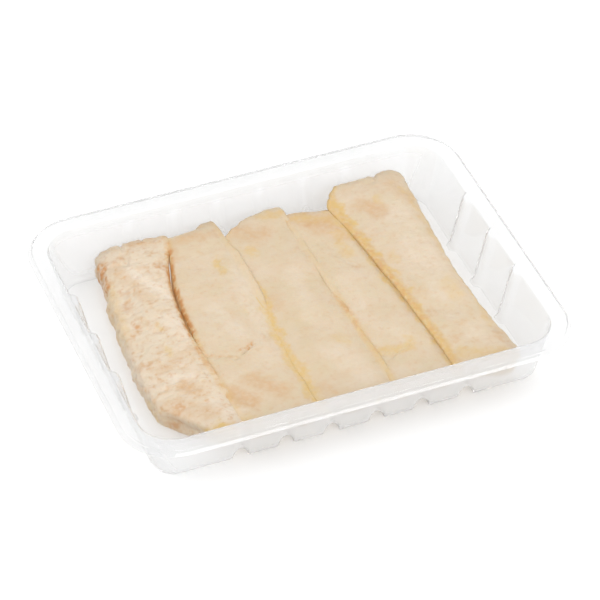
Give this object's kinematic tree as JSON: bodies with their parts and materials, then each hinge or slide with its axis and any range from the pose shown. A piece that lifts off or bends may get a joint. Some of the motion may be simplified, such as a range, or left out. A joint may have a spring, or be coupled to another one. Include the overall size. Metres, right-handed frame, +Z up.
{
  "type": "tray of salt cod strips",
  "caption": "Shallow clear plastic food tray with a flat rim, fluted walls and a channelled floor, holding thick pale strips of salt cod side by side.",
  "frame": {"origin": "middle of the tray's outline, on the surface that its feet stand on", "axes": "+X along the tray's long side, +Y from the front wall to the back wall along the strips, +Z up out of the open top"},
  "size_m": [0.225, 0.178, 0.0295],
  "materials": {
    "clear_plastic": "clear, smooth and glossy thin sheet",
    "cod_flesh": "moist cream flesh with ochre and orange-brown stains"
  },
  "bodies": {
    "root": {"tray": "clear_plastic", "cod_strip_1": "cod_flesh", "cod_strip_2": "cod_flesh", "cod_strip_3": "cod_flesh", "cod_strip_4": "cod_flesh", "cod_strip_5": "cod_flesh"}
  },
  "joints": []
}
